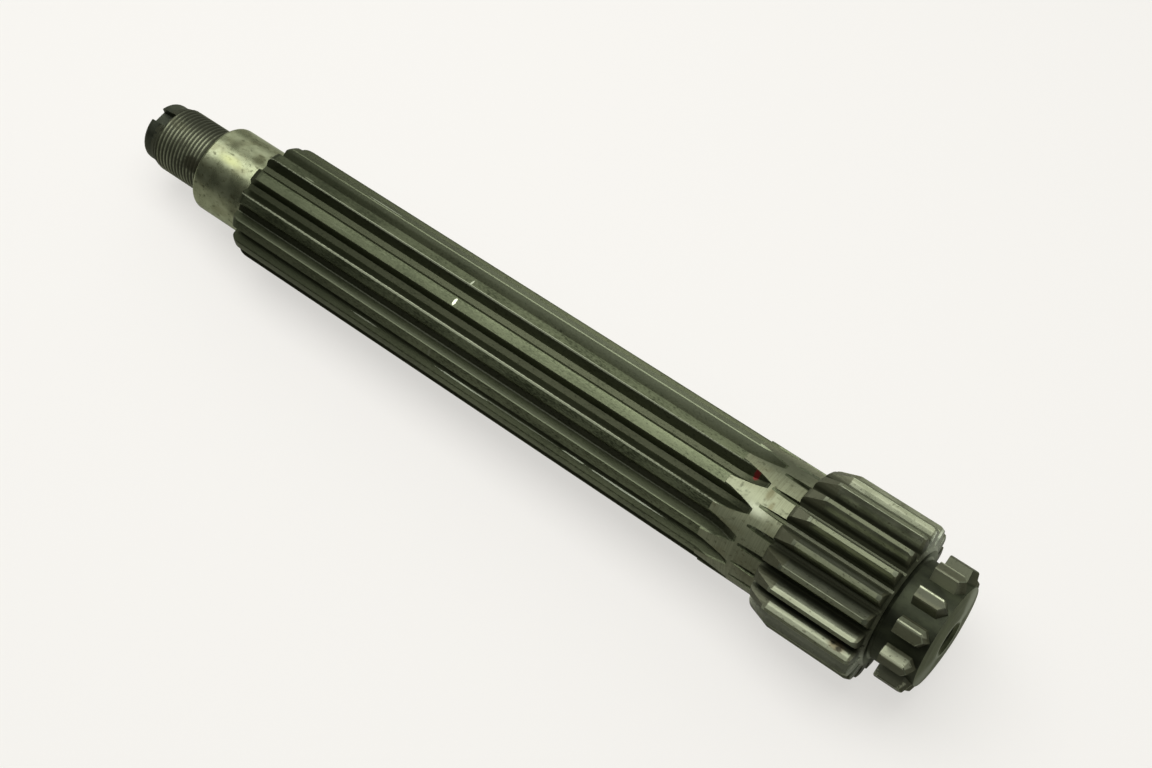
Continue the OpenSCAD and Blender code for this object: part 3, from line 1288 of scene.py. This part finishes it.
@dataclass(frozen=True)
class SoftLamp:
    """A large soft lamp that points at the middle of the shaft."""

    name: str
    place: Point
    size: Size
    watts: float

    def build(self, target: Vector) -> bpy.types.Object:
        """Makes the lamp.

        Args:
            target: The point that it faces.

        Returns:
            The lamp's object.
        """
        data = bpy.data.lights.new(self.name, "AREA")
        data.shape = "RECTANGLE"
        data.size, data.size_y = self.size
        data.energy = self.watts
        lamp = bpy.data.objects.new(self.name, data)
        bpy.context.scene.collection.objects.link(lamp)
        away = (Vector(self.place) - target).normalized()
        along = (Vector((1.0, 0.0, 0.0)) - away * away.x).normalized()
        axes = Matrix((along, away.cross(along), away)).transposed()
        lamp.matrix_world = Matrix.Translation(self.place) @ axes.to_4x4()
        return lamp


@dataclass(frozen=True)
class Studio:
    """The pale floor that the shaft rests on, the lamps above it and the soft light around it.

    Attributes:
        plan: The plan of the shaft.
        pale: The floor and the room as the camera sees them.
        dim: The floor as it passes light on to the shaft.
        floor_size: The length of the floor's sides, in metres.
        glow: The strength of the floor's own light.
        shadow_share: The share of the floor, as the camera sees it, that takes the shadow.
        metal_share: How much of the floor's own light the metal mirrors.
        sheet_ends: How far beside the shaft the metal stops and starts to mirror it, in metres.
        near: The light of the room from before and below the shaft.
        far: The light of the room from above and behind it.
        sky_lean_deg: How far the brightest part of the room leans back.
        sky_ends: Where between the two the room is darkest and where it is brightest.
        side_ends: Where towards the shaft's ends the room starts and stops to darken.
        side_shade: How much it darkens there.
        lamps: The lamps.
    """

    plan: ShaftPlan
    pale: Colour = (0.922, 0.905, 0.871)
    dim: Colour = (0.38, 0.371, 0.353)
    floor_size: float = 12.0
    glow: float = 0.965
    shadow_share: float = 0.3
    metal_share: float = 0.22
    sheet_ends: Ends = (0.17, 0.05)
    near: Colour = (0.085, 0.085, 0.08)
    far: Colour = (0.82, 0.82, 0.785)
    sky_lean_deg: float = 35.0
    sky_ends: Ends = (0.1, 0.95)
    side_ends: Ends = (0.35, 0.95)
    side_shade: float = 0.6
    lamps: Sequence[SoftLamp] = (
        SoftLamp("top_lamp", (0.02, 0.055, 0.95), (1.25, 0.65), 8.4),
        SoftLamp("back_lamp", (-0.55, 0.90, 0.45), (0.8, 0.7), 0.8),
    )

    def build(self) -> None:
        """Makes the floor, the lamps and the world."""
        low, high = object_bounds()
        for lamp in self.lamps:
            lamp.build((low + high) / 2)
        self.build_floor()
        self.build_world()
        bpy.context.scene.view_settings.view_transform = "Standard"

    def build_floor(self) -> None:
        """Lays the floor under the pinion and the start of the splines, on which the shaft rests."""
        plan = self.plan
        run = plan.pinion.end - plan.splines.start
        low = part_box(NODE)[0].z
        slope = (-low - plan.splines.radius) / run
        half = self.floor_size / 2
        mesh = bmesh.new()
        corners = ((-half, -half), (half, -half), (half, half), (-half, half))
        points = [(x, y, low - (x - plan.pinion.end) * slope) for x, y in corners]
        mesh.faces.new([mesh.verts.new(point) for point in points])
        floor = new_object("floor", mesh)
        material = bpy.data.materials.new("pale_floor")
        material.use_nodes = True
        graph = Graph(material.node_tree)
        path = graph.node("ShaderNodeLightPath")
        seen = Value(graph, path.outputs["Is Camera Ray"])
        glossy = Value(graph, path.outputs["Is Glossy Ray"])
        mirrored = glossy.larger(Value(graph, path.outputs["Is Transmission Ray"]))
        place = graph.node("ShaderNodeTexCoord").outputs["Object"]
        split = graph.node("ShaderNodeSeparateXYZ", {}, {0: place})
        below = abs(Value(graph, split.outputs["Y"])).step(*self.sheet_ends)
        glowing = seen * (1.0 - self.shadow_share) + mirrored * below * self.metal_share
        matt = graph.node("ShaderNodeBsdfDiffuse", {}, {"Color": graph.mix(seen, self.dim, self.pale)})
        glow = graph.node("ShaderNodeEmission", {}, {"Color": self.pale, "Strength": self.glow})
        both = graph.node("ShaderNodeMixShader", {}, {0: glowing, 1: matt.outputs[0], 2: glow.outputs[0]})
        graph.node("ShaderNodeOutputMaterial", {}, {"Surface": both.outputs[0]})
        floor.data.materials.append(material)
        floor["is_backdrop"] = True

    def build_world(self) -> None:
        """Makes the soft light of the room: bright above and behind the shaft, darker elsewhere."""
        world = bpy.data.worlds.new("room")
        bpy.context.scene.world = world
        world.use_nodes = True
        graph = Graph(world.node_tree)
        seen = Value(graph, graph.node("ShaderNodeLightPath").outputs["Is Camera Ray"])
        way = graph.node("ShaderNodeTexCoord").outputs["Generated"]
        split = graph.node("ShaderNodeSeparateXYZ", {}, {0: way})
        x, y, z = (Value(graph, s) for s in split.outputs)
        lean = math.radians(self.sky_lean_deg)
        sky = (y * math.sin(lean) + z * math.cos(lean)).step(*self.sky_ends)
        sky = sky * (1.0 - abs(x).step(*self.side_ends) * self.side_shade)
        shade = graph.mix(sky, self.near, self.far)
        ground = graph.node("ShaderNodeBackground", {}, {"Color": graph.mix(seen, shade, self.pale)})
        graph.node("ShaderNodeOutputWorld", {}, {"Surface": ground.outputs[0]})


def main() -> None:
    """Builds the shaft, the camera and the studio, and reports each piece."""
    logging.basicConfig(level=logging.INFO, format="%(name)s: %(message)s")
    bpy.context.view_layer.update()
    plan = ShaftPlan.of_frame(frame["record"])
    PhotoCamera().build()
    piece = Shaft(plan).build()
    LOG.info("%s: %d faces", piece.name, len(piece.data.polygons))
    Studio(plan).build()


if __name__ == "__main__":
    main()
